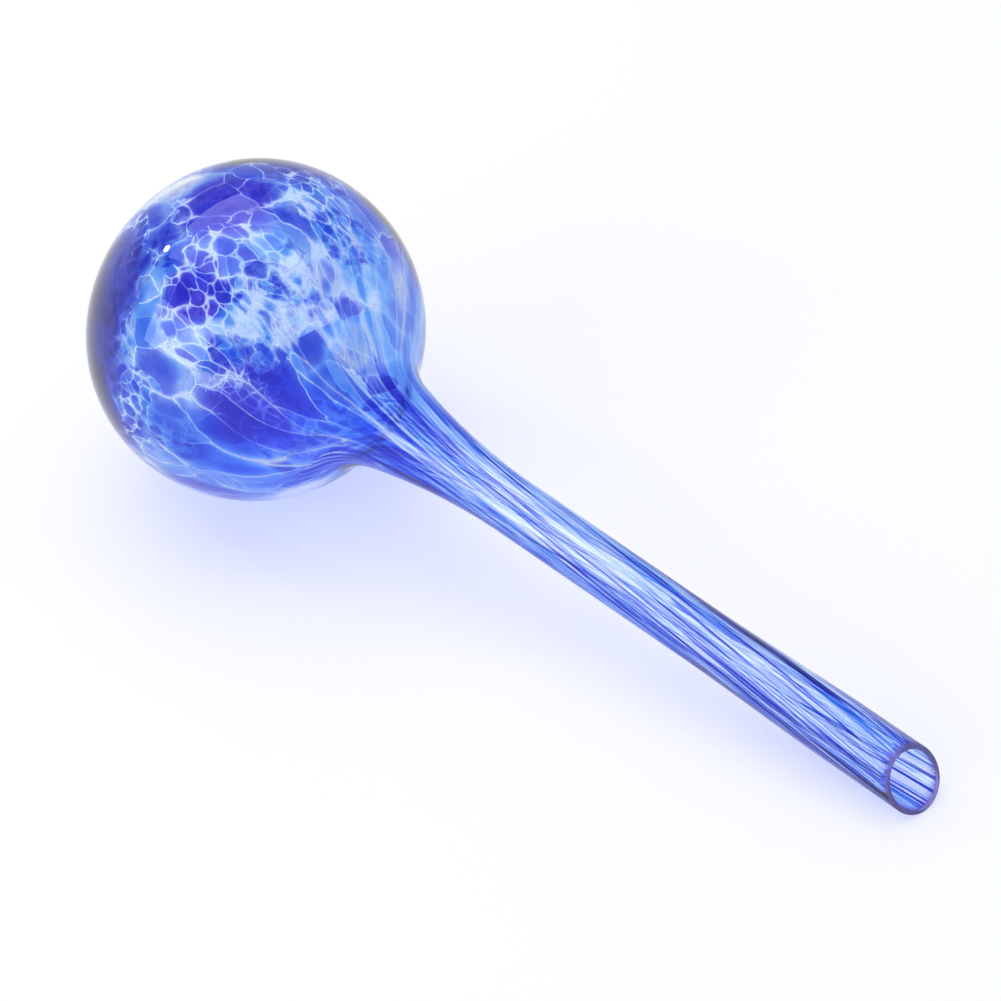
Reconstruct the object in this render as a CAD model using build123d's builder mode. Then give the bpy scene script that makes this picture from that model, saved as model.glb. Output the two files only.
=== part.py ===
from build123d import *
from math import acos, asin, atan2, cos, degrees, hypot, pi, radians, sin, sqrt, tan
from random import Random
import os

# A blown glass watering globe at rest on a table. +X runs level from the globe towards the
# mouth, +Z is up, and the origin lies on the table under the middle of the glass.
# Lengths are in millimetres and angles in degrees.

# Globe: heights along the glass are measured from its widest ring
globe_radius = 45.0
blown_end_depth = 42.0
blown_end_spread = 40.0
shoulder_radius = 44.0

# Neck and stem
neck_radius = 13.0
taper_radius = 155.0
throat_run = 44.0
throat_radius = 7.35
waist_radius = 7.2
waist_share = 0.64
stem_reach = 204.4

# Mouth: the last stretch is a true cylinder, cut on a slant and melted round at the lip
mouth_radius = 7.95
mouth_straight = 22.0
mouth_slant = 37.2
mouth_turn = 21.9
lip_round = 0.3

# Wall, from the outside inwards: clear casing, coloured chips, inner bubble
casing_wall = 0.7
chip_wall = 0.3
bubble_wall = 0.4
fuse_clearance = 0.01

# Coloured chips
globe_chip_count = 84
globe_chip_gap = 0.8
globe_chip_scatter_share = 0.35
neck_chip_counts = (9, 7)
neck_start_share = 0.773
streak_count = 7
streak_rows = 4
streak_gap = 0.5
streak_turn_length = 480.0
streak_scatter_share = 0.3
chip_seed = 11
colour_shares = {"cobalt": 0.34, "sky": 0.36, "milky": 0.2, "violet": 0.1}

# What a cut runs past the glass, and how far a prism reaches each side of the wall
cut_overrun = 2.0
prism_inner_share = 0.3
prism_outer_share = 1.5

# Half width of the square that a globe chip's outline is clipped from, at distance one
cell_start_share = 0.7

# Rounds in which the resting tilt is found
tilt_rounds = 30

# Blown side of the globe: a flat end arc that meets the side arc at the spread angle
spread_cos = cos(radians(blown_end_spread))
spread_sin = sin(radians(blown_end_spread))
arc_difference = (globe_radius - blown_end_depth) / (spread_cos + spread_sin - 1)
side_radius = globe_radius - arc_difference * spread_sin
end_radius = blown_end_depth + arc_difference * spread_cos
end_centre = (0, end_radius - blown_end_depth)
side_centre = (globe_radius - side_radius, 0)

# Stem side: shoulder arc, hollow neck arc, long taper arc, waist, flare and straight mouth
shoulder_centre = (globe_radius - shoulder_radius, 0)
throat_height = shoulder_radius + throat_run
taper_centre = (throat_radius + taper_radius, throat_height)
mouth_start = stem_reach - mouth_straight
waist_height = throat_height + waist_share * (mouth_start - throat_height)
lip_rise = mouth_radius * tan(radians(mouth_slant))
cut_height = stem_reach + lip_rise + cut_overrun
full_wall = casing_wall + chip_wall + bubble_wall


def tangent_neck_centre():
    # The neck circle touches the shoulder circle from outside and the taper circle from inside
    span_x = taper_centre[0] - shoulder_centre[0]
    span_y = taper_centre[1] - shoulder_centre[1]
    span = hypot(span_x, span_y)
    from_shoulder = shoulder_radius + neck_radius
    from_taper = taper_radius - neck_radius
    corner = acos((from_shoulder**2 + span**2 - from_taper**2) / (2 * from_shoulder * span))
    heading = atan2(span_y, span_x) + corner
    return (
        shoulder_centre[0] + from_shoulder * cos(heading),
        shoulder_centre[1] + from_shoulder * sin(heading),
    )


neck_centre = tangent_neck_centre()
shoulder_sweep = degrees(
    atan2(neck_centre[1] - shoulder_centre[1], neck_centre[0] - shoulder_centre[0])
)
taper_sweep = degrees(atan2(taper_centre[1] - neck_centre[1], taper_centre[0] - neck_centre[0]))


def globe_height(tilt):
    # Height of the globe's middle when the shoulder arc touches the table
    return shoulder_radius + (globe_radius - shoulder_radius) * cos(tilt)


def lip_reach(slope_part, turned_part):
    # How far the lip's middle line reaches from the mouth's middle, plus its own roundness
    return (mouth_radius - full_wall / 2) * hypot(slope_part, turned_part) + full_wall / 2


def resting_tilt():
    # The stem sinks until the long side of the slanted lip meets the table
    tilt = 0.0
    for step in range(tilt_rounds):
        down = cos(tilt) * cos(radians(mouth_turn)) + tan(radians(mouth_slant)) * sin(tilt)
        across = sin(radians(mouth_turn)) * cos(tilt)
        tilt = asin((globe_height(tilt) - lip_reach(down, across)) / stem_reach)
    return tilt


# Where the glass lies: its box is centred on the origin along X
tilt = resting_tilt()
stem_forward = cos(tilt)
stem_drop = sin(tilt)
lip_forward = tan(radians(mouth_slant)) * stem_forward - stem_drop * cos(radians(mouth_turn))
lip_across = stem_drop * sin(radians(mouth_turn))
back_reach = end_radius - end_centre[1] * stem_forward
front_reach = stem_reach * stem_forward + lip_reach(lip_forward, lip_across)
globe_middle = Vector((back_reach - front_reach) / 2, 0, globe_height(tilt))

stem = Plane(
    origin=globe_middle,
    x_dir=(stem_drop, 0, stem_forward),
    z_dir=(stem_forward, 0, -stem_drop),
)
stem_axis = Axis(stem.origin, stem.z_dir)
lengthwise = Plane(origin=stem.origin, x_dir=stem.x_dir, z_dir=-stem.y_dir)

# The long side of the slanted mouth points down, turned a little towards +Y
long_side = -stem.x_dir * cos(radians(mouth_turn)) - stem.y_dir * sin(radians(mouth_turn))
mouth_middle = stem.origin + stem.z_dir * stem_reach
mouth_plane = Plane(
    origin=mouth_middle,
    z_dir=stem.z_dir * cos(radians(mouth_slant)) - long_side * sin(radians(mouth_slant)),
)


def glass_outline(depth):
    # Edge of the half section that lies depth below the outer surface
    CenterArc(end_centre, end_radius - depth, -90, blown_end_spread)
    CenterArc(side_centre, side_radius - depth, blown_end_spread - 90, 90 - blown_end_spread)
    CenterArc(shoulder_centre, shoulder_radius - depth, 0, shoulder_sweep)
    CenterArc(neck_centre, neck_radius + depth, shoulder_sweep - 180, taper_sweep - shoulder_sweep)
    CenterArc(taper_centre, taper_radius + depth, taper_sweep - 180, -taper_sweep)
    Polyline(
        (throat_radius - depth, throat_height),
        (waist_radius - depth, waist_height),
        (mouth_radius - depth, mouth_start),
        (mouth_radius - depth, cut_height),
        (0, cut_height),
        (0, depth - blown_end_depth),
    )


def wall_section(outer_depth, inner_depth, low=-blown_end_depth, high=cut_height):
    # Half section of one layer of the wall between two heights
    with BuildSketch(lengthwise) as section:
        with BuildLine():
            glass_outline(outer_depth)
        make_face()
        with BuildLine():
            glass_outline(inner_depth)
        make_face(mode=Mode.SUBTRACT)
        with Locations((0, low)):
            Rectangle(globe_radius, high - low, align=Align.MIN, mode=Mode.INTERSECT)
    return section.sketch


def cut_face(layer):
    # The slanted face of one layer of the wall at the mouth
    return layer.faces().sort_by(Axis(mouth_middle, mouth_plane.z_dir))[-1]


with BuildPart() as clear_casing:
    revolve(wall_section(0, casing_wall), axis=stem_axis)
    split(bisect_by=mouth_plane, keep=Keep.BOTTOM)
    fillet(cut_face(clear_casing).outer_wire().edges(), lip_round)

with BuildPart() as inner_bubble:
    revolve(wall_section(casing_wall + chip_wall, full_wall), axis=stem_axis)
    split(bisect_by=mouth_plane, keep=Keep.BOTTOM)
    fillet(cut_face(inner_bubble).inner_wires()[0].edges(), lip_round * bubble_wall / casing_wall)

# The chips' layer of the wall: on the globe up to the neck chips, and on the stem
chip_depths = (casing_wall + fuse_clearance, casing_wall + chip_wall - fuse_clearance)
neck_chip_start = neck_start_share * shoulder_radius

with BuildPart() as globe_layer:
    globe_layer_end = neck_chip_start - globe_chip_gap / 2
    revolve(wall_section(*chip_depths, high=globe_layer_end), axis=stem_axis)

with BuildPart() as stem_layer:
    revolve(wall_section(*chip_depths, low=throat_height), axis=stem_axis)
    split(bisect_by=mouth_plane, keep=Keep.BOTTOM)


def wall_radius(height):
    # Outer radius of the glass at a height on the shoulder, the neck or the stem
    shoulder_end = shoulder_radius * sin(radians(shoulder_sweep))
    neck_end = neck_centre[1] - neck_radius * sin(radians(taper_sweep))
    if height <= shoulder_end:
        return shoulder_centre[0] + sqrt(shoulder_radius**2 - height**2)
    if height <= neck_end:
        return neck_centre[0] - sqrt(neck_radius**2 - (neck_centre[1] - height) ** 2)
    if height <= throat_height:
        return taper_centre[0] - sqrt(taper_radius**2 - (taper_centre[1] - height) ** 2)
    return max(waist_radius, mouth_radius)


def chip_directions():
    # Unit vectors in a golden spiral from the blown end to the shoulder, each moved a little
    shake = Random(chip_seed)
    top_share = neck_chip_start / hypot(neck_chip_start, wall_radius(neck_chip_start))
    spacing = sqrt(2 * pi * (1 + top_share) / globe_chip_count)
    golden_turn = pi * (3 - sqrt(5))
    directions = []
    for k in range(globe_chip_count):
        height_share = (1 + top_share) * (k + 1 / 2) / globe_chip_count - 1
        height_share += shake.uniform(-1, 1) * spacing * globe_chip_scatter_share
        height_share = min(top_share, abs(1 + height_share) - 1)
        turn = k * golden_turn
        turn += shake.uniform(-1, 1) * spacing * globe_chip_scatter_share
        ring = sqrt(1 - height_share**2)
        directions.append(Vector(ring * cos(turn), ring * sin(turn), height_share))
    return directions


def clipped(corners, across, limit):
    # The part of a polygon where its points' reach along across stays within limit
    kept = []
    for k in range(len(corners)):
        here = corners[k - 1]
        there = corners[k]
        here_over = here[0] * across[0] + here[1] * across[1] - limit
        there_over = there[0] * across[0] + there[1] * across[1] - limit
        if here_over <= 0:
            kept.append(here)
        if here_over * there_over < 0:
            share = here_over / (here_over - there_over)
            kept.append(tuple(a + (b - a) * share for a, b in zip(here, there)))
    return kept


def globe_cell(middle, others):
    # Corners of the cell nearest to middle, seen from the globe's centre on a unit sphere
    frame = Plane(origin=(0, 0, 0), z_dir=middle)
    start = cell_start_share
    corners = [(-start, -start), (start, -start), (start, start), (-start, start)]
    for other in others:
        across = (frame.x_dir.dot(other), frame.y_dir.dot(other))
        size = hypot(*across)
        if other is middle or middle.dot(other) < 0:
            continue
        unit = (across[0] / size, across[1] / size)
        limit = (1 - middle.dot(other)) / size - globe_chip_gap / globe_radius / 2
        corners = clipped(corners, unit, limit)
    return frame, corners


def from_stem(direction):
    # A direction given along and across the stem, in the part's own frame
    return stem.x_dir * direction.X + stem.y_dir * direction.Y + stem.z_dir * direction.Z


def globe_chip(frame, corners):
    # The globe's layer within a prism that widens from inside the glass to outside it
    facing = Plane(origin=stem.origin, x_dir=from_stem(frame.x_dir), z_dir=from_stem(frame.z_dir))
    ends = []
    for distance in (globe_radius * (1 - prism_inner_share), globe_radius * prism_outer_share):
        with BuildSketch(facing.offset(distance)) as end:
            Polygon(*[(x * distance, y * distance) for x, y in corners], align=None)
        ends.append(end.sketch)
    loft(ends)
    add(globe_layer.part, mode=Mode.INTERSECT)


def neck_chip(low, high, start, width):
    # A sector of the layer from low to high, with the gap to its neighbours at its narrow end
    gap_angle = degrees(streak_gap / wall_radius(high))
    band = wall_section(*chip_depths, low=low, high=high).rotate(stem_axis, start)
    revolve(band, axis=stem_axis, revolution_arc=width - gap_angle)


def stem_streak(low, high, start, width):
    # The stem's layer within a prism from low to high, one sector wide, that turns on its way
    ends = []
    for height in (low, high):
        radius = wall_radius(height)
        turn = start + 360 * (height - low) / streak_turn_length
        half = width / 2 - degrees(streak_gap / radius) / 2
        corners = []
        for share, side in ((prism_inner_share, -1), (prism_outer_share, -1),
                            (prism_outer_share, 1), (prism_inner_share, 1)):
            angle = radians(turn + side * half)
            corners.append((radius * share * cos(angle), radius * share * sin(angle)))
        with BuildSketch(stem.offset(height)) as end:
            Polygon(*corners, align=None)
        ends.append(end.sketch)
    loft(ends, ruled=True)
    add(stem_layer.part, mode=Mode.INTERSECT)


def picked_colour(dice, colours):
    # One of the colours, each as often as its share
    total = sum(colour_shares[name] for name in colours)
    mark = dice.random() * total
    for name in colours:
        mark -= colour_shares[name]
        if mark <= 0:
            return name
    return colours[-1]


def chip_solid(shape, sizes):
    # One chip of glass
    with BuildPart() as chip:
        shape(*sizes)
    return chip.part


def coloured_nodes(places, shape, ending, colours):
    # One node for each colour, with all of its chips
    dice = Random(chip_seed)
    chips = {name: [] for name in colours}
    for place in places:
        chips[picked_colour(dice, colours)].append(chip_solid(shape, place))
    coloured = {}
    for name in colours:
        with BuildPart() as node:
            add(chips[name])
        coloured[f"{name}_{ending}"] = node
    return coloured


# Globe chips fill the globe up to the shoulder
all_directions = chip_directions()
globe_cells = [globe_cell(direction, all_directions) for direction in all_directions]

# Neck chips stand in rows from the shoulder to the throat
neck_sectors = []
row_height = (throat_height - neck_chip_start) / len(neck_chip_counts)
for row, count in enumerate(neck_chip_counts):
    low = neck_chip_start + row * row_height + streak_gap / 2
    for k in range(count):
        start = (k + row / 2) * 360 / count
        neck_sectors.append((low, low + row_height - streak_gap, start, 360 / count))

# Stem streaks follow, each row shifted and its ends uneven
streak_sectors = []
shake = Random(chip_seed)
streak_length = (cut_height - throat_height) / streak_rows
for k in range(streak_count):
    turn = 360 * k / streak_count
    cuts = [throat_height + streak_length * row for row in range(streak_rows + 1)]
    for row in range(1, streak_rows):
        cuts[row] += shake.uniform(-1, 1) * streak_length * streak_scatter_share
    for low, high in zip(cuts, cuts[1:]):
        start = turn + 360 * (low - throat_height) / streak_turn_length
        low_end = low + streak_gap / 2
        streak_sectors.append((low_end, high - streak_gap / 2, start, 360 / streak_count))

stem_colours = ("cobalt", "sky", "milky")
nodes = {"clear_casing": clear_casing, "inner_bubble": inner_bubble}
nodes |= coloured_nodes(globe_cells, globe_chip, "globe_chips", tuple(colour_shares))
nodes |= coloured_nodes(neck_sectors, neck_chip, "neck_chips", stem_colours)
nodes |= coloured_nodes(streak_sectors, stem_streak, "stem_streaks", stem_colours)

os.makedirs("parts", exist_ok=True)
for name, node in nodes.items():
    node.part.label = name
    export_step(node.part, f"parts/{name}.step")
    print(name, len(node.part.solids()), "solids", round(node.part.volume, 1), "mm3")

print("tilt", round(degrees(tilt), 3), "globe middle", [round(v, 3) for v in tuple(globe_middle)])
print("mouth middle", [round(v, 3) for v in tuple(mouth_middle)])
print("stem axis", [round(v, 5) for v in tuple(stem.z_dir)])
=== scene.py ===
import math
import bpy
import numpy as np
from mathutils import Matrix, Vector


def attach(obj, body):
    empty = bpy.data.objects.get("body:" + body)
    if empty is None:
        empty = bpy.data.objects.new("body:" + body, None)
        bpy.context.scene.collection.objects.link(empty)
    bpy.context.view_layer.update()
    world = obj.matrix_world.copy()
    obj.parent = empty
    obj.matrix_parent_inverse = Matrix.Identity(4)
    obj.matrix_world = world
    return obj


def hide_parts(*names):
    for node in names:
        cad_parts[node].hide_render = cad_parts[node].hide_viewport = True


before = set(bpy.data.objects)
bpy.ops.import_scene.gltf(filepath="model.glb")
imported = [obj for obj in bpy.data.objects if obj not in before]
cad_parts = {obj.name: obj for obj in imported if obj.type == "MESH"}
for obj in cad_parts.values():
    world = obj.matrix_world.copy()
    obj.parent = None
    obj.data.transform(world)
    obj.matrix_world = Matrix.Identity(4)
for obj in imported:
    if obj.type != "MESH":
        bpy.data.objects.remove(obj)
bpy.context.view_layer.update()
print("frame loaded:", len(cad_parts), "nodes")

# All lengths are in metres. The glass is a body of revolution about the stem's middle line,
# so a place on it is a height along that line, a radius and an angle around it.
glass = {
    "globeRadius": 0.045,
    "blownEndDepth": 0.042,
    "blownEndSpread": math.radians(40),
    "shoulderRadius": 0.044,
    "neckRadius": 0.013,
    "taperRadius": 0.155,
    "throatRun": 0.044,
    "throatRadius": 0.00735,
    "waistRadius": 0.0072,
    "waistShare": 0.64,
    "stemReach": 0.2044,
    "mouthRadius": 0.00795,
    "mouthStraight": 0.022,
    "mouthSlant": math.radians(37.2),
    "mouthTurn": math.radians(21.9),
    "wall": 0.0014,
    "waveDepth": 0.00025,
    "stemEase": 0.004,
    "stemEaseSteps": 9,
    "leanFrom": 0.7,
    "chipsFrom": 0.0007,
    "chipsTo": 0.001,
    "chipsShort": 0.0008,
}

# Where the glass lies: globe middle, and the way the stem points
lying = {"tilt": math.radians(10.2107), "middle": (-0.082012, 0.0, 0.044984)}
stemWay = np.array([math.cos(lying["tilt"]), 0, -math.sin(lying["tilt"])])
upWay = np.array([math.sin(lying["tilt"]), 0, math.cos(lying["tilt"])])
sideWay = np.cross(stemWay, upWay)
globeMiddle = np.array(lying["middle"])


def profileArcs():
    # Centres and radii of the outline's circles, each tangent to the next one
    g = glass
    c, s = math.cos(g["blownEndSpread"]), math.sin(g["blownEndSpread"])
    difference = (g["globeRadius"] - g["blownEndDepth"]) / (c + s - 1)
    sideRadius = g["globeRadius"] - difference * s
    endRadius = g["blownEndDepth"] + difference * c
    shoulder = np.array([g["globeRadius"] - g["shoulderRadius"], 0])
    throatHeight = g["shoulderRadius"] + g["throatRun"]
    taper = np.array([g["throatRadius"] + g["taperRadius"], throatHeight])
    span = taper - shoulder
    length = np.hypot(*span)
    toShoulder = g["shoulderRadius"] + g["neckRadius"]
    toTaper = g["taperRadius"] - g["neckRadius"]
    corner = math.acos((toShoulder**2 + length**2 - toTaper**2) / (2 * toShoulder * length))
    heading = math.atan2(span[1], span[0]) + corner
    neck = shoulder + toShoulder * np.array([math.cos(heading), math.sin(heading)])
    return {
        "end": (np.array([0, endRadius - g["blownEndDepth"]]), endRadius),
        "side": (np.array([g["globeRadius"] - sideRadius, 0]), sideRadius),
        "shoulder": (shoulder, g["shoulderRadius"]),
        "neck": (neck, g["neckRadius"]),
        "taper": (taper, g["taperRadius"]),
        "headings": (heading, math.atan2(taper[1] - neck[1], taper[0] - neck[0])),
        "throatHeight": throatHeight,
    }


arcs = profileArcs()


def arcPoints(arc, depth, start, stop, count):
    # Radius and height on a circle: centre + radius * (cos a, sin a), a even from start to stop
    centre, radius = arc
    a = np.linspace(start, stop, count)
    points = [centre[0] + (radius + depth) * np.cos(a), centre[1] + (radius + depth) * np.sin(a)]
    return np.stack(points, 1)


def stemRadius(heights):
    # Piecewise line through throat, waist and mouth, averaged over a short window along the stem
    mouthStart = glass["stemReach"] - glass["mouthStraight"]
    throat = arcs["throatHeight"]
    waist = throat + glass["waistShare"] * (mouthStart - throat)
    window = np.linspace(-1, 1, glass["stemEaseSteps"]) * glass["stemEase"]
    knots = [throat, waist, mouthStart]
    radii = [glass["throatRadius"], glass["waistRadius"], glass["mouthRadius"]]
    return np.interp(heights[..., None] + window, knots, radii).mean(-1)


def globeProfile(depth, counts):
    # Rows of (radius, height) from the blown end to the throat, depth below the outer surface
    spread = glass["blownEndSpread"]
    shoulderTurn, taperTurn = arcs["headings"]
    quarter = math.pi / 2
    rows = [
        arcPoints(arcs["end"], -depth, -quarter, spread - quarter, counts[0])[:-1],
        arcPoints(arcs["side"], -depth, spread - quarter, 0, counts[1])[:-1],
        arcPoints(arcs["shoulder"], -depth, 0, shoulderTurn, counts[2])[:-1],
        arcPoints(arcs["neck"], depth, shoulderTurn + math.pi, taperTurn + math.pi, counts[3])[:-1],
        arcPoints(arcs["taper"], depth, taperTurn + math.pi, math.pi, counts[4])[:-1],
    ]
    return np.concatenate(rows)


# How the glass was drawn out after the chips were laid on: at each height, the radius that the
# gather had there, and how far along the gather one metre of finished glass reaches
drawn = {
    "heights": (-0.042, -0.012, 0.000, 0.010, 0.020, 0.030, 0.044, 0.060, 0.090, 0.210),
    "gatherRadius": (0, 0.0435, 0.0445, 0.0438, 0.0425, 0.041, 0.039, 0.037, 0.035, 0.033),
    "speed": (1, 1, 0.85, 0.60, 0.42, 0.30, 0.20, 0.13, 0.085, 0.07),
    "easeDepth": 0.012,
    "leastSpeed": 0.05,
    "twistStart": 0.020,
    "twistPerMetre": 13.0,
}


def gatherPlace(radius, height, angle):
    # Where a bit of glass lay on the gather: x, y from its radius and untwisted angle, z the
    # running sum of its own length along the gather
    path = np.hypot(np.diff(radius), np.diff(height))
    around = np.interp(height, drawn["heights"], drawn["gatherRadius"])
    onGlobe = np.clip((height + drawn["easeDepth"]) / drawn["easeDepth"], 0, 1)
    around = radius + (around - radius) * onGlobe
    speed = np.interp(height, drawn["heights"], drawn["speed"])
    shrink = np.diff(around) / path
    steps = np.sqrt(np.maximum(speed[1:] ** 2 - shrink**2, drawn["leastSpeed"] ** 2)) * path
    along = np.concatenate([[0], np.cumsum(steps)])
    twist = drawn["twistPerMetre"] * np.maximum(height - drawn["twistStart"], 0)
    turned = angle[None, :] - twist[:, None]
    around, along = around[:, None], along[:, None]
    return np.stack([around * np.cos(turned), around * np.sin(turned), along * np.ones_like(turned)], -1)


def toFrame(radius, height, angle):
    # Middle line point at the height, plus the radius along the turned up direction
    out = np.cos(angle)[..., None] * upWay + np.sin(angle)[..., None] * sideWay
    return globeMiddle + height[..., None] * stemWay + radius[..., None] * out


# Rows on the outline's five circles, on the stem and over the lip, and columns around
shellGrid = {"counts": (22, 26, 48, 24, 28), "stemRows": 76, "around": 168, "lipSteps": 8}


def wallSheet(depth, short, angle):
    # One face of the wall, as rows along the glass and columns around it. Its last rows lean
    # over, so that they end level with the slanted cut or short of it
    globeRows = globeProfile(depth, shellGrid["counts"])
    slope = math.tan(glass["mouthSlant"])
    longAngle = math.pi + glass["mouthTurn"]
    share = np.linspace(0, 1, shellGrid["stemRows"])
    lean = np.clip((share - glass["leanFrom"]) / (1 - glass["leanFrom"]), 0, 1) ** 2
    rim = glass["mouthRadius"] - depth
    height = (arcs["throatHeight"] + share * (glass["stemReach"] - short - arcs["throatHeight"]))[:, None]
    height = height + lean[:, None] * rim * slope * np.cos(angle - longAngle)[None, :]
    radius = stemRadius(height) - depth
    globeRadius = np.repeat(globeRows[:, :1], len(angle), 1)
    globeHeight = np.repeat(globeRows[:, 1:], len(angle), 1)
    radius = np.concatenate([globeRadius, radius])
    height = np.concatenate([globeHeight, height])
    return radius, height


def smoothStep(x, low, high):
    # 0 below low, 1 above high, and 3 t squared - 2 t cubed between
    t = np.clip((x - low) / (high - low), 0, 1)
    return t * t * (3 - 2 * t)


def makeMesh(name, points, faces, material, places=None):
    # A mesh object from point rows and face index rows, with the gather place as an attribute
    mesh = bpy.data.meshes.new(name)
    mesh.from_pydata(points.tolist(), [], faces)
    mesh.materials.append(material)
    mesh.polygons.foreach_set("use_smooth", np.ones(len(mesh.polygons), dtype=bool))
    if places is not None:
        layer = mesh.attributes.new("gatherPlace", "FLOAT_VECTOR", "POINT")
        layer.data.foreach_set("vector", places.astype(np.float32).ravel())
    mesh.update()
    mesh.validate()
    piece = bpy.data.objects.new(name, mesh)
    bpy.context.scene.collection.objects.link(piece)
    return piece


def closedShell(name, outer, inner, lipRound, places, material):
    # A closed shell: outer face, rounded lip, inner face. The lip is a half ellipse from edge to
    # edge: middle of the two edges + half their difference * cos a + roundness * sin a
    a = np.linspace(0, math.pi, shellGrid["lipSteps"] + 2)[1:-1]
    middle = (outer[-1] + inner[-1]) / 2
    half = (outer[-1] - inner[-1]) / 2
    lip = middle + half * np.cos(a)[:, None, None] + stemWay * lipRound * np.sin(a)[:, None, None]
    points = np.concatenate([outer, lip, inner[::-1]])
    allPlaces = np.concatenate([places, np.repeat(places[-1:], len(a), 0), places[::-1]])
    rows, columns = points.shape[:2]
    # The first and last rows lie in the poles: each becomes one point
    poles = np.stack([points[0].mean(0), points[-1].mean(0)])
    polePlaces = np.stack([allPlaces[0].mean(0), allPlaces[-1].mean(0)])
    body = points[1:-1].reshape(-1, 3)
    bodyPlaces = allPlaces[1:-1].reshape(-1, 3)
    row = (np.arange(rows - 3) * columns)[:, None]
    column = np.arange(columns)[None, :]
    after = (column + 1) % columns
    quads = np.stack([row + column, row + after, row + columns + after, row + columns + column], -1)
    outerPole = np.stack([np.full(columns, len(body)), after[0], column[0]], 1)
    last = (rows - 3) * columns
    innerPole = np.stack([np.full(columns, len(body) + 1), last + column[0], last + after[0]], 1)
    faces = quads.reshape(-1, 4).tolist() + outerPole.tolist() + innerPole.tolist()
    allPlaces = np.concatenate([bodyPlaces, polePlaces])
    return makeMesh(name, np.concatenate([body, poles]), faces, material, allPlaces)


# Three waves, in radians per metre of the gather's x, y and z, and where they fade by the neck
waves = {"perMetre": ((170, 0, 90), (0, 150, -120), (60, 0, 230)), "onGlobeTo": (0.030, 0.050)}


def waviness(places):
    # Slow waves of the inner face: the mean of sin(a x + b y + c z + n) over the gather
    x, y, z = places[..., 0], places[..., 1], places[..., 2]
    lines = [np.sin(a * x + b * y + c * z + n) for n, (a, b, c) in enumerate(waves["perMetre"])]
    return sum(lines) / len(lines)


class Socket:
    # Wraps a node socket, so that shader maths reads as plain expressions
    def __init__(self, tree, link):
        self.tree = tree
        self.link = link

    def maths(self, operation, other=0.0):
        return self.tree.node("ShaderNodeMath", {"operation": operation}, {0: self, 1: other})

    def __add__(self, other):
        return self.maths("ADD", other)

    def __mul__(self, other):
        return self.maths("MULTIPLY", other)

    def __sub__(self, other):
        return self.maths("SUBTRACT", other)

    def __rsub__(self, other):
        return self * -1.0 + other

    __radd__ = __add__
    __rmul__ = __mul__

    def step(self, low, high, bottom=0.0, top=1.0):
        # Smooth step from bottom at low to top at high
        values = {"Value": self, "From Min": low, "From Max": high, "To Min": bottom, "To Max": top}
        return self.tree.node("ShaderNodeMapRange", {"interpolation_type": "SMOOTHSTEP"}, values)

    def sister(self, out):
        # Another output of the same node
        return Socket(self.tree, self.link.node.outputs[out])


class Tree:
    # The node tree of a material or of the world
    def __init__(self, name, kind=bpy.data.materials, shader="Principled BSDF", output="Material Output"):
        self.owner = kind.new(name)
        self.owner.use_nodes = True
        self.nodes = self.owner.node_tree.nodes
        self.links = self.owner.node_tree.links
        self.shader = self.nodes[shader]
        self.output = self.nodes[output]

    def node(self, kind, settings=None, values=None, out=0):
        made = self.nodes.new(kind)
        for key, value in (settings or {}).items():
            setattr(made, key, value)
        self.fill(made, values or {})
        return Socket(self, made.outputs[out])

    def fill(self, made, values):
        for key, value in values.items():
            if isinstance(value, Socket):
                self.links.new(value.link, made.inputs[key])
            else:
                made.inputs[key].default_value = value

    def surface(self, values):
        self.fill(self.shader, values)
        return Socket(self, self.shader.outputs[0])

    def finish(self, shader):
        self.links.new(shader.link, self.output.inputs["Surface"])
        return self.owner

    def blend(self, share, low, high):
        # The colour low where share is 0, and high where it is 1
        return self.node("ShaderNodeMix", {"data_type": "RGBA"}, {0: share, 6: low, 7: high}, 2)

    def seen(self):
        # 1 for a look from the camera, in a reflection or through glass, 0 for light
        path = self.node("ShaderNodeLightPath")
        return (path + path.sister(3) + path.sister(6)).maths("MINIMUM", 1.0)

    def noise(self, place, scale, detail=1.0, out=0):
        values = {"Vector": place, "Scale": scale, "Detail": detail}
        return self.node("ShaderNodeTexNoise", None, values, out)

    def vector(self, operation, values, out=0):
        return self.node("ShaderNodeVectorMath", {"operation": operation}, values, out)

    def dot(self, place, way):
        return self.vector("DOT_PRODUCT", {0: place, 1: tuple(way)}, 1)

    def patch(self, place, spot):
        # 1 in the middle of a patch, falling smoothly to 0 at its reach
        middle, reach = spot[:2]
        far = self.vector("DISTANCE", {0: place, 1: middle}, 1)
        return 1.0 - far.step(reach * 0.5, reach)

    def moved(self, place, by, amount):
        # The place plus amount times the noise colour, which is spread from -1 to 1 first
        centred = self.vector("SUBTRACT", {0: by, 1: (0.5, 0.5, 0.5)})
        shift = self.vector("SCALE", {0: centred, "Scale": amount * 2.0})
        return self.vector("ADD", {0: place, 1: shift})


# The slanted mouth's plane: its middle and the way out of the glass
mouthMiddle = globeMiddle + stemWay * glass["stemReach"]
longWay = -upWay * math.cos(glass["mouthTurn"]) - sideWay * math.sin(glass["mouthTurn"])
mouthWay = stemWay * math.cos(glass["mouthSlant"]) - longWay * math.sin(glass["mouthSlant"])

clearLook = {
    "tint": ((0.965, 0.97, 1.0, 1), (0.935, 0.945, 1.0, 1)),
    # Painted shade: darker, bluer glass where it is seen on edge, for the dark reflection along the
    # outline
    "edge": (0.60, 0.58, 0.96, 1),
    "paintedEdgeShadeFacing": (0.70, 0.98),
    # Painted shade at the lip: a purple tint and a dark matte rim, for how the ring looks seen end on
    "lip": (0.50, 0.42, 0.84, 1),
    "paintedLipShadeDepth": (-0.0022, -0.0006),
    "rim": (0.20, 0.17, 0.48, 1),
    "paintedRimShadeDepth": (-0.0008, -0.0001),
    "paintedRimShadeShare": 0.6,
    "shadowTint": (0.68, 0.74, 0.975, 1),
    "wavePerMetre": 30.0,
    "waveSteps": (0.3, 0.7),
    "waveStrength": 0.2,
    "waveDepth": 0.0005,
}


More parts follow.
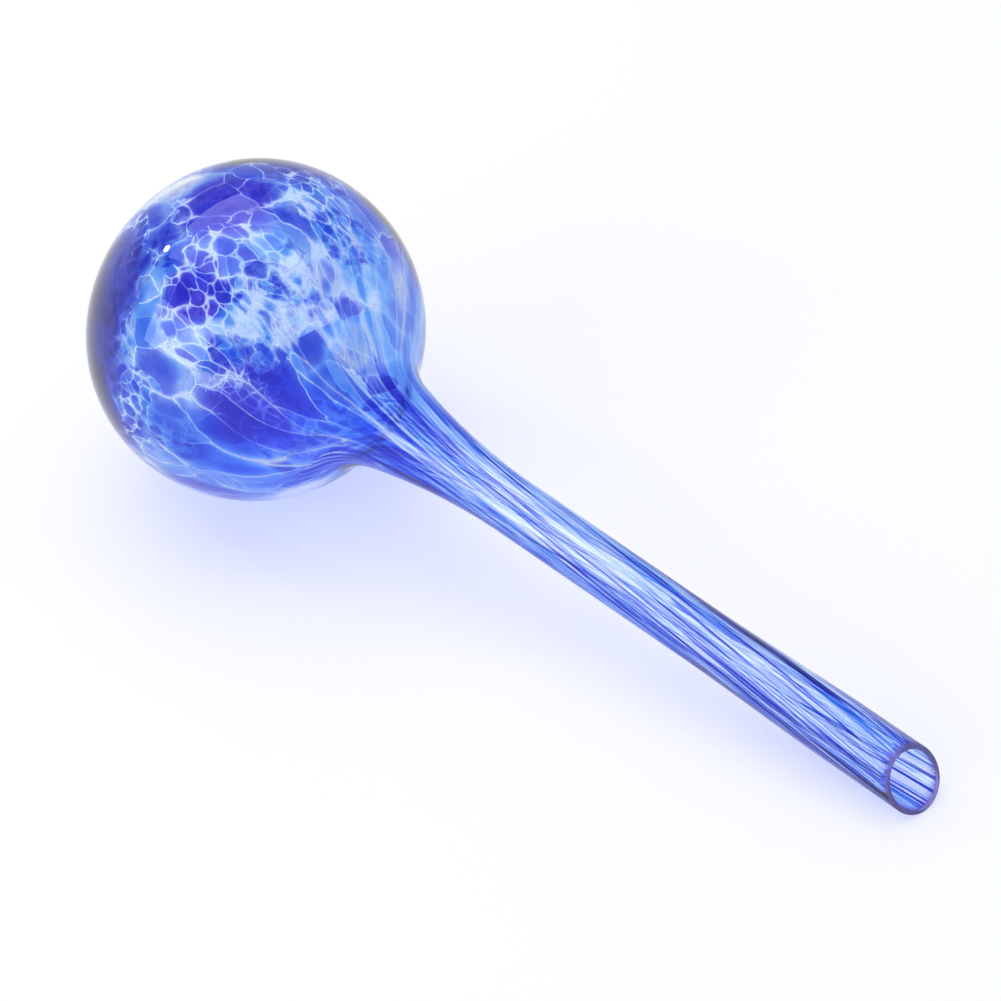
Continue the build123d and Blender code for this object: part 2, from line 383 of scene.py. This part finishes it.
def clearGlass():
    # Clear blown glass, polished by the flame, with a faint slow waviness in its face. Where it is
    # seen on edge it is painted darker and bluer: painted shade for the dark reflection along the
    # outline. The lip is painted purple, from faint to lip by a smooth step of the depth below the
    # mouth's plane, with a dark matte rim mixed in at its end: painted shade for how the ring looks
    # seen end on. Light on its way to the table passes as through the wall
    tree = Tree("clear_blown_glass")
    here = tree.node("ShaderNodeTexCoord", out=3)
    wave = tree.noise(here, clearLook["wavePerMetre"])
    bump = {"Height": wave, "Strength": clearLook["waveStrength"], "Distance": clearLook["waveDepth"]}
    bump = tree.node("ShaderNodeBump", None, bump)
    faint = tree.blend(wave.step(*clearLook["waveSteps"]), *clearLook["tint"])
    # Painted shade: the tint turns darker and bluer where the face is seen on edge
    facing = tree.node("ShaderNodeLayerWeight", None, {"Blend": 0.5}, 1)
    faint = tree.blend(facing.step(*clearLook["paintedEdgeShadeFacing"]), faint, clearLook["edge"])
    # Painted shade at the lip: purple tint and dark matte rim by the depth below the mouth's plane
    depth = tree.dot(here, mouthWay) - float(mouthMiddle @ mouthWay)
    body = tree.surface({
        "Base Color": tree.blend(depth.step(*clearLook["paintedLipShadeDepth"]), faint, clearLook["lip"]),
        "Roughness": 0.0, "Transmission Weight": 1.0, "IOR": 1.5, "Normal": bump,
    })
    paintedRimShade = tree.node("ShaderNodeBsdfDiffuse", None, {"Color": clearLook["rim"]})
    paintedRimShadeAmount = depth.step(*clearLook["paintedRimShadeDepth"]) * clearLook["paintedRimShadeShare"]
    body = tree.node("ShaderNodeMixShader", None, {0: paintedRimShadeAmount, 1: body, 2: paintedRimShade})
    passed = tree.node("ShaderNodeBsdfTransparent", None, {"Color": clearLook["shadowTint"]})
    toLamp = tree.node("ShaderNodeLightPath", out=1)
    return tree.finish(tree.node("ShaderNodeMixShader", None, {0: toLamp, 1: body, 2: passed}))


# Sizes are in metres, or counted per metre of the gather. A bend is a noise's size and how far it
# moves the glass. Two numbers are a smooth step from 0 to 1, four also give its two end values
chips = {
    "bigPerMetre": 98.0,
    "smallPerMetre": 310.0,
    "smallWhere": (42.0, 0.53, 0.56),
    "slowBend": (75.0, 0.0040),
    "fastBend": (290.0, 0.0010),
    "patchBend": (90.0, 0.004),
    "azure": (1.0, 0.48, 0.055),
    "cobalt": (1.0, 0.82, 0.13),
    "violet": (0.80, 1.0, 0.13),
    # Painted shade: how the outline's painted dark patches absorb red, green and blue
    "limbShadeAbsorption": (0.94, 1.05, 0.31),
    "deepWhere": (0.3, 0.8),
    "deepByDensity": (0.3, 1.8, 0.35, 1.0),
    "strength": (1.0, 2.5),
    "cloudPerMetre": 300.0,
    "cloud": (0.2, 0.8, 0.8, 1.2),
    "rim": 0.36,
    "middleShares": (0.36, 0.66),
    "slant": (0.04, 0.34),
    "slantGain": (0.35, 3.2),
    "violetStrength": 2.4,
    "violetShare": 0.85,
}

# The clear seams between chips, the painted glints where they meet, and seed bubbles
seams = {
    "halfWidth": (0.00005, 0.00017),
    "glowPerMetre": 120.0,
    "lineGlow": (0.25, 0.5),
    "paintedGlintGlow": (0.42, 0.62),
    "paintedGlintReach": 0.0016,
    "corners": (0.54, 0.80),
    "paintedGlintClear": 1.6,
    "brightClear": 0.6,
    "mostClear": 0.92,
    # White of the seams' scatter, and of the painted glints
    "milkAndGlintWhite": (0.84, 0.97, 1.0, 1),
    "white": (0.23, 0.31, 0.55),
    "fade": (0.0, 0.8),
    "violetFade": 0.5,
    "stemFade": 0.6,
    "seedsPerMetre": 150.0,
    "seedSize": 0.028,
    "seedWhite": 0.6,
}

# The streaks of the drawn stem: noises by size, detail and smooth step, multiplied together
streaks = {
    "from": (0.040, 0.075),
    "calm": 0.65,
    "layers": (
        (560.0, 1.0, (0.41, 0.59, 0.15, 1.85)),
        (1500.0, 0.0, (0.38, 0.62, 0.55, 1.45)),
        (190.0, 2.0, (0.38, 0.62, 0.3, 1.8)),
    ),
    "threadsPerMetre": 430.0,
    "threads": (0.60, 0.66),
    "threadWhite": 0.12,
    "thinning": (0.045, 0.10, 1.0, 0.60),
    "mouth": (0.10, 0.18, 1.0, 2.5),
}

# Patches on the globe: where they lie, how far they reach, and how much the colour changes there
patches = {
    "density": (
        ((-0.0482, -0.0273, 0.0567), 0.016, 0.45),
        ((-0.0819, -0.0062, 0.0896), 0.016, 0.35),
        ((-0.0935, -0.0216, 0.0828), 0.015, 0.50),
        ((-0.0505, -0.0062, 0.0765), 0.020, -0.35),
        ((-0.0415, -0.0045, 0.0641), 0.018, -0.40),
        ((-0.0990, -0.0050, 0.0875), 0.012, -1.0),
        ((-0.0509, -0.0185, 0.0140), 0.014, -1.0),
        ((-0.0360, 0.0000, 0.0368), 0.019, 0.45),
    ),
    # Painted shade: darker patches along the left and top outline, for the dark reflection seen there
    "paintedLimbShade": (
        ((-0.1023, -0.0300, 0.0720), 0.017, 2.0),
        ((-0.1035, -0.0385, 0.0570), 0.019, 2.3),
        ((-0.1010, -0.0420, 0.0390), 0.016, 1.8),
        ((-0.0908, 0.0253, 0.0811), 0.018, 1.4),
    ),
    "violet": (
        ((-0.0819, -0.0062, 0.0896), 0.015, 1.0),
        ((-0.0736, -0.0271, 0.0799), 0.011, 1.0),
        ((-0.0600, 0.0360, 0.0600), 0.016, 0.9),
        ((-0.0980, 0.0100, 0.0060), 0.017, 0.9),
    ),
    # Painted glints: bright white spots that stand in for light gathered in the glass
    "paintedGlint": (
        ((-0.0559, -0.0073, 0.0807), 0.0065, 0.9),
        ((-0.0501, -0.0163, 0.0718), 0.0070, 0.9),
        ((-0.0580, -0.0240, 0.0750), 0.0060, 0.7),
        ((-0.0687, 0.0064, 0.0873), 0.0060, 0.8),
        ((-0.0419, -0.0067, 0.0638), 0.0080, 0.9),
    ),
    "small": (
        ((-0.0640, -0.0240, 0.0800), 0.027, 1.0),
        ((-0.1040, -0.0280, 0.0700), 0.022, 1.0),
    ),
}


def chipGlass():
    # Coloured chips in the wall. A chip's colour is dense in its round middle and thin near its
    # seams. What passes is e to the power of minus density times the absorption of red, green
    # and blue. Patches of painted shade darken the left and top outline, for the dark reflection
    # seen there. Fine seams also scatter white, and where they meet and in the bright patches a
    # painted white glint stands in for light gathered there
    tree = Tree("blue_chip_glass")
    gathered = tree.node("ShaderNodeAttribute", {"attribute_name": "gatherPlace"}, None, 1)
    here = tree.node("ShaderNodeTexCoord", out=3)
    along = tree.dot(here, stemWay) - float(globeMiddle @ stemWay)
    onStem = along.step(*streaks["from"])

    # The gather is bent a little, less so on the stem, which the drawing straightened
    calm = 1.0 - onStem * streaks["calm"]
    bent = gathered
    for perMetre, reach in (chips["slowBend"], chips["fastBend"]):
        bent = tree.moved(bent, tree.noise(gathered, perMetre, out=1), calm * reach)
    perMetre, reach = chips["patchBend"]
    patchPlace = tree.moved(here, tree.noise(here, perMetre, out=1), reach)
    gain = 1.0
    for spot in patches["density"]:
        gain = gain * (1.0 + spot[2] * tree.patch(patchPlace, spot))
    # Patch sums: painted outline shade, violet, small cells, and bright patches that carry painted glints
    paintedLimbShade, purple, small, bright = [
        sum(spot[2] * tree.patch(patchPlace, spot) for spot in patches[kind])
        for kind in ("paintedLimbShade", "violet", "small", "paintedGlint")
    ]

    # Cells of two sizes: distance to the seam in metres, distance to the middle as a share of
    # the cell, and two random numbers of the cell
    cells = []
    for scale in (chips["bigPerMetre"], chips["smallPerMetre"]):
        values = {"Vector": bent, "Scale": scale}
        edge = tree.node("ShaderNodeTexVoronoi", {"feature": "DISTANCE_TO_EDGE"}, values)
        middle = tree.node("ShaderNodeTexVoronoi", {"feature": "F1"}, values)
        random = [tree.node("ShaderNodeSeparateColor", None, {0: middle.sister(1)}, k) for k in range(2)]
        cells.append([edge * (1 / scale), middle] + random)
    perMetre, low, high = chips["smallWhere"]
    small = (small + tree.noise(gathered, perMetre, 0.0).step(low, high)).step(0.45, 0.55)
    edge, far, first, second = [big + (little - big) * small for big, little in zip(*cells)]

    # Where the glass is clear: seams, glints, bright patches, and threads on the stem
    glow = tree.noise(bent, seams["glowPerMetre"])
    threads = tree.noise(bent, streaks["threadsPerMetre"], 0.0).step(*streaks["threads"]) * onStem
    corner = far.step(*seams["corners"])
    core = (1.0 - edge.step(*seams["halfWidth"])) * glow.step(*seams["lineGlow"])
    # Painted glint: white near the seams where they meet, and in the bright patches
    near = 1.0 - edge.step(0.0, seams["paintedGlintReach"])
    paintedGlint = near * near * corner * glow.step(*seams["paintedGlintGlow"])
    paintedGlint = (paintedGlint + near * near * bright).maths("MINIMUM", 1.0)
    clear = core + paintedGlint * seams["paintedGlintClear"] + threads + bright * seams["brightClear"]
    clear = clear.maths("MINIMUM", 1.0)
    seedCell = tree.node("ShaderNodeTexVoronoi", None, {"Vector": bent, "Scale": seams["seedsPerMetre"]})
    seed = seedCell.maths("LESS_THAN", seams["seedSize"])

    # How dense the colour is
    cloud = tree.noise(bent, chips["cloudPerMetre"], 2.0)
    middling = 1.0 - far.step(*chips["middleShares"]) * (1.0 - purple.maths("MINIMUM", 1.0))
    dense = first.step(0.0, 1.0, *chips["strength"]) * cloud.step(*chips["cloud"]) * gain
    dense = dense * (chips["rim"] + (1.0 - chips["rim"]) * middling)
    dense = dense + (chips["violetStrength"] - dense) * purple.maths("MINIMUM", chips["violetShare"])
    streak = 1.0
    for perMetre, detail, steps in streaks["layers"]:
        streak = streak * tree.noise(bent, perMetre, detail).step(*steps)
    dense = dense * (1.0 + (streak - 1.0) * onStem)
    dense = dense * (1.0 - clear * seams["mostClear"])
    dense = dense * along.step(*streaks["thinning"]) * along.step(*streaks["mouth"])
    slanted = tree.node("ShaderNodeLayerWeight", None, {"Blend": 0.5}, 1).step(*chips["slant"])
    dense = dense * (1.0 + slanted * onStem.step(0.0, 1.0, *chips["slantGain"]))

    deep = second.step(*chips["deepWhere"]) * dense.step(*chips["deepByDensity"])
    passed = []
    for channel in range(3):
        hues = [chips[hue][channel] for hue in ("azure", "cobalt", "violet", "limbShadeAbsorption")]
        azure, cobalt, violet, limbShadeAbsorption = hues
        blue = azure + (cobalt - azure) * deep
        # The outline's painted shade adds its own absorption
        strength = (blue + (violet - blue) * purple) * dense + limbShadeAbsorption * paintedLimbShade
        passed.append((strength * -1.0).maths("EXPONENT"))
    colour = tree.node("ShaderNodeCombineColor", None, dict(enumerate(passed)))
    body = tree.surface({
        "Base Color": colour, "Roughness": 0.0, "Transmission Weight": 1.0,
        "IOR": 1.0, "Specular IOR Level": 0.0,
    })

    # How much of it is white: seam, thread and seed scatter, and painted glints where seams meet
    milkAndGlintWhite = tree.node("ShaderNodeBsdfDiffuse", None, {"Color": seams["milkAndGlintWhite"]})
    lineWhite, cornerGlintWhite, paintedGlintWhite = seams["white"]
    # Seams scatter white; near their meeting points and at the glints the white is painted light
    seam = core * (lineWhite + corner * cornerGlintWhite) + paintedGlint * paintedGlintWhite
    seam = seam * gain.maths("MINIMUM", 1.0)
    # No white where the outline's painted shade or the violet lies
    seam = seam * (1.0 - (paintedLimbShade + purple * seams["violetFade"]).step(*seams["fade"]))
    seam = seam * (1.0 - seams["stemFade"] * onStem) + threads * streaks["threadWhite"]
    seam = seam + seed * seams["seedWhite"]
    return tree.finish(tree.node("ShaderNodeMixShader", None, {0: seam, 1: body, 2: milkAndGlintWhite}))


angle = np.linspace(0, 2 * math.pi, shellGrid["around"] + 1)[:-1]
lipRound = glass["wall"] / 2
outerRadius, outerHeight = wallSheet(0, lipRound, angle)
innerRadius, innerHeight = wallSheet(glass["wall"], lipRound, angle)
deepRadius, deepHeight = wallSheet(glass["wall"] + glass["waveDepth"], lipRound, angle)
places = gatherPlace(outerRadius.mean(1), outerHeight.mean(1), angle)
outer = toFrame(outerRadius, outerHeight, angle[None, :])
inner = toFrame(innerRadius, innerHeight, angle[None, :])
deeper = toFrame(deepRadius, deepHeight, angle[None, :]) - inner
onGlobe = 1 - smoothStep(outerHeight, *waves["onGlobeTo"])
share = (1 + waviness(places)) / 2 * onGlobe
inner = inner + deeper * share[..., None]
body = closedShell("clear_glass_body", outer, inner, lipRound, places, clearGlass())
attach(body, "root")
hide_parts("clear_casing", "inner_bubble")
print("clear glass:", len(body.data.polygons), "faces")

chipSheets = []
for depth in (glass["chipsFrom"], glass["chipsTo"]):
    sheetRadius, sheetHeight = wallSheet(depth, glass["chipsShort"], angle)
    chipSheets.append(toFrame(sheetRadius, sheetHeight, angle[None, :]))
chipRound = (glass["chipsTo"] - glass["chipsFrom"]) / 2
lining = closedShell("coloured_chip_layer", *chipSheets, chipRound, places, chipGlass())
lining.visible_shadow = False
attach(lining, "root")
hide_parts(*[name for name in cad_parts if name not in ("clear_casing", "inner_bubble")])
print("chip layer:", len(lining.data.polygons), "faces")

# The table is a wide pale sheet
table = {
    "half": 5.0,
    "colours": ((0.955, 0.955, 0.96, 1), (0.965, 0.965, 0.965, 1)),
    "coloursPerMetre": 6.0,
    "grainPerMetre": 900.0,
    "whiteShare": 0.35,
}


def paleTable():
    # A smooth pale sheet: two near whites mixed by a slow noise, and a fine grain. About a third
    # of what is seen of it is plain white, the rest is lit and keeps the shadow
    tree = Tree("pale_table")
    here = tree.node("ShaderNodeTexCoord", out=3)
    grain = tree.noise(here, table["grainPerMetre"], 2.0)
    bump = tree.node("ShaderNodeBump", None, {"Height": grain, "Strength": 0.05, "Distance": 0.0002})
    sheet = tree.surface({
        "Base Color": tree.blend(tree.noise(here, table["coloursPerMetre"]), *table["colours"]),
        "Roughness": 0.7, "Normal": bump, "Specular IOR Level": 0.1,
    })
    white = tree.node("ShaderNodeEmission", None, {"Color": (1, 1, 1, 1), "Strength": 1.0})
    share = tree.seen() * table["whiteShare"]
    return tree.finish(tree.node("ShaderNodeMixShader", None, {0: share, 1: sheet, 2: white}))


side = table["half"]
corners = np.array([(-side, -side, 0), (side, -side, 0), (side, side, 0), (-side, side, 0)])
floor = makeMesh("table_top", corners, [[0, 1, 2, 3]], paleTable())
print("table:", 2 * side, "m wide")

# Soft studio light: a pale room, two soft panels and a small lamp. A lamp has the way to it, how
# far it is, its size and its power
studio = {
    "room": ((0.34, 0.345, 0.365, 1), (0.575, 0.58, 0.59, 1)),
    "seenRoom": ((0.82, 0.85, 0.97, 1), (0.40, 0.42, 0.62, 1)),
    "ceilingFrom": 0.7,
    "lamps": {
        "overhead_panel": ((-0.30, 0.05, 0.95), 1.6, (1.6, 1.6), 14.0),
        "front_panel": ((-0.20, -0.90, 0.38), 2.1, (1.7, 1.0), 13.5),
        "small_lamp": ((-0.76, -0.20, 0.62), 2.2, (0.12, 0.12), 3.0),
    },
}


def room():
    # The room's colour by the height of the look. Its light is softer near the horizon, and
    # what glass shows of it is the pale walls and the darker ceiling
    tree = Tree("studio", bpy.data.worlds, "Background", "World Output")
    bpy.context.scene.world = tree.owner
    look = tree.node("ShaderNodeTexCoord")
    rise = tree.node("ShaderNodeSeparateXYZ", None, {0: look}, 2).step(0.0, studio["ceilingFrom"])
    light = tree.blend(rise, *studio["room"])
    walls = tree.blend(rise, *studio["seenRoom"])
    return tree.finish(tree.surface({"Color": tree.blend(tree.seen(), light, walls)}))


def softLamp(name, way, far, size, power):
    data = bpy.data.lights.new(name, "AREA")
    data.shape = "RECTANGLE"
    data.size, data.size_y = size
    data.energy = power
    lamp = bpy.data.objects.new(name, data)
    way = Vector(way).normalized()
    lamp.location = Vector(lying["middle"]) + way * far
    lamp.rotation_euler = way.to_track_quat("Z", "Y").to_euler()
    bpy.context.scene.collection.objects.link(lamp)


room()
for name, lampValues in studio["lamps"].items():
    softLamp(name, *lampValues)
print("light: a room and", len(studio["lamps"]), "lamps")

# The camera looks down at the glass from the mouth's side
view = {
    "azimuth": math.radians(37.293), "elevation": math.radians(42.962), "distance": 0.5691,
    "across": -0.001178, "above": 0.022133, "focalPixels": 2199.7, "framePixels": 1001, "sensor": 36.0,
}
a, e = view["azimuth"], view["elevation"]
back = Vector((math.sin(a) * math.cos(e), -math.cos(a) * math.cos(e), math.sin(e)))
right = Vector((0, 0, 1)).cross(back).normalized()
above = back.cross(right)
camera = bpy.data.objects.new("camera", bpy.data.cameras.new("camera"))
camera.data.sensor_width = view["sensor"]
camera.data.lens = view["sensor"] * view["focalPixels"] / view["framePixels"]
camera.data.clip_start = 0.01
basis = Matrix((right, above, back)).transposed().to_4x4()
basis.translation = back * view["distance"] + right * view["across"] + above * view["above"]
camera.matrix_world = basis
bpy.context.scene.collection.objects.link(camera)
bpy.context.scene.camera = camera
print("camera:", view["distance"], "m away")
bpy.context.scene.view_settings.view_transform = "Standard"

# Light crosses many faces on its way through both walls of the glass
bpy.context.scene.cycles.max_bounces = 24
bpy.context.scene.cycles.transmission_bounces = 24
bpy.context.scene.cycles.transparent_max_bounces = 16
